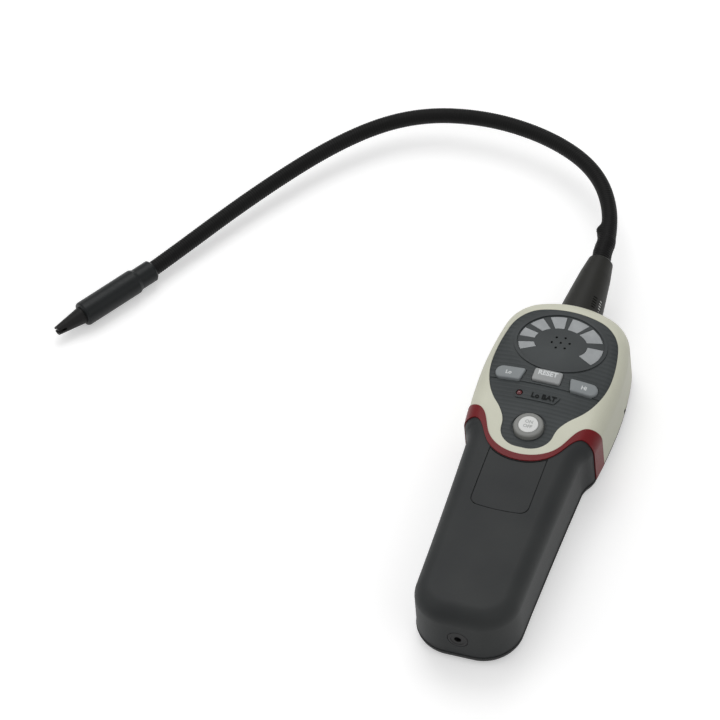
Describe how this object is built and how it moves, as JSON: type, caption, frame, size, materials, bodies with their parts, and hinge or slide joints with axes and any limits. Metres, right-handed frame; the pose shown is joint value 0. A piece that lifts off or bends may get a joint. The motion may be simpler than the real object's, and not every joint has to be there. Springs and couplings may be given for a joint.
{
  "type": "electronic leak detector",
  "caption": "Hand-held gas leak detector with keypad, arc of light windows, shaped grip and a bent gooseneck probe, lying on its back.",
  "frame": {"origin": "centre of the flat back, on the surface it rests on", "axes": "+X to the user's right, +Y from grip to head, +Z out of the keypad"},
  "size_m": [0.2765, 0.3019, 0.0379],
  "materials": {
    "cream": "fine matt moulded texture",
    "accent_red": "satin",
    "grip_dark": "soft-touch, fine grain",
    "back_dark": "matt moulded",
    "panel_grey": "fine cross ridges",
    "window_grey": "translucent satin",
    "key_grey": "satin",
    "reset_grey": "satin",
    "ring_grey": "satin",
    "cap_white": "satin",
    "led_red": "clear",
    "board_green": "solder mask",
    "part_black": "moulded",
    "led_white": "clear",
    "steel": "zinc plated",
    "brass": "turned",
    "cell_jacket": "printed film, plain",
    "wire_red": "insulated wire",
    "boot_black": "satin",
    "sleeve_black": "fine cross ridges",
    "holder_black": "matt",
    "tip_black": "matt"
  },
  "bodies": {
    "detector": {"head_cover": "cream", "accent_band": "accent_red", "grip_cover": "grip_dark", "rear_cover": "back_dark", "case_screws": "steel", "keypad_panel": "panel_grey", "led_lens": "window_grey", "label_plate": "back_dark", "key_switches": "part_black", "main_board": "board_green", "board_screws": "steel", "indicator_leds": "led_white", "low_battery_led": "led_red", "buzzer": "part_black", "lead_connector": "part_black", "battery_tray": "part_black", "contact_plates": "steel", "contact_springs": "steel", "battery_leads": "wire_red", "jack_leads": "wire_red", "jack_socket": "part_black", "jack_nut": "steel", "gooseneck_boot": "boot_black", "neck_ferrule": "brass", "neck_nut": "steel", "gooseneck_sleeve": "sleeve_black", "gooseneck_core": "steel", "sensor_lead": "part_black", "probe_holder": "holder_black", "sensor_socket": "part_black", "sensor_element": "steel", "battery_cell_1": "cell_jacket", "battery_cell_2": "cell_jacket", "battery_cell_3": "cell_jacket", "battery_cell_4": "cell_jacket"},
    "key_lo_body": {"key_lo": "key_grey", "plunger_lo": "part_black"},
    "key_reset_body": {"key_reset": "reset_grey", "plunger_reset": "part_black"},
    "key_hi_body": {"key_hi": "key_grey", "plunger_hi": "part_black"},
    "power_key_body": {"power_key": "ring_grey", "power_key_cap": "cap_white", "plunger_power": "part_black"},
    "battery_cover_body": {"battery_cover": "back_dark"},
    "sensor_tip_body": {"sensor_tip": "tip_black"}
  },
  "joints": [
    {"name": "key_lo_press", "type": "slide", "parent": "detector", "child": "key_lo_body", "axis": [0, 0, -1], "range_m": [0, 0.0006], "stiffness_N_per_m": 400, "springref_m": -0.002},
    {"name": "key_reset_press", "type": "slide", "parent": "detector", "child": "key_reset_body", "axis": [0, 0, -1], "range_m": [0, 0.0006], "stiffness_N_per_m": 400, "springref_m": -0.002},
    {"name": "key_hi_press", "type": "slide", "parent": "detector", "child": "key_hi_body", "axis": [0, 0, -1], "range_m": [0, 0.0006], "stiffness_N_per_m": 400, "springref_m": -0.002},
    {"name": "power_key_press", "type": "slide", "parent": "detector", "child": "power_key_body", "axis": [0, 0, -1], "range_m": [0, 0.0006], "stiffness_N_per_m": 400, "springref_m": -0.002},
    {"name": "battery_cover_slide", "type": "slide", "parent": "detector", "child": "battery_cover_body", "axis": [0, -1, 0], "range_m": [0, 0.124]},
    {"name": "sensor_tip_pull", "type": "slide", "parent": "detector", "child": "sensor_tip_body", "axis": [-0.5751, -0.8181, 0], "range_m": [0, 0.016]}
  ]
}
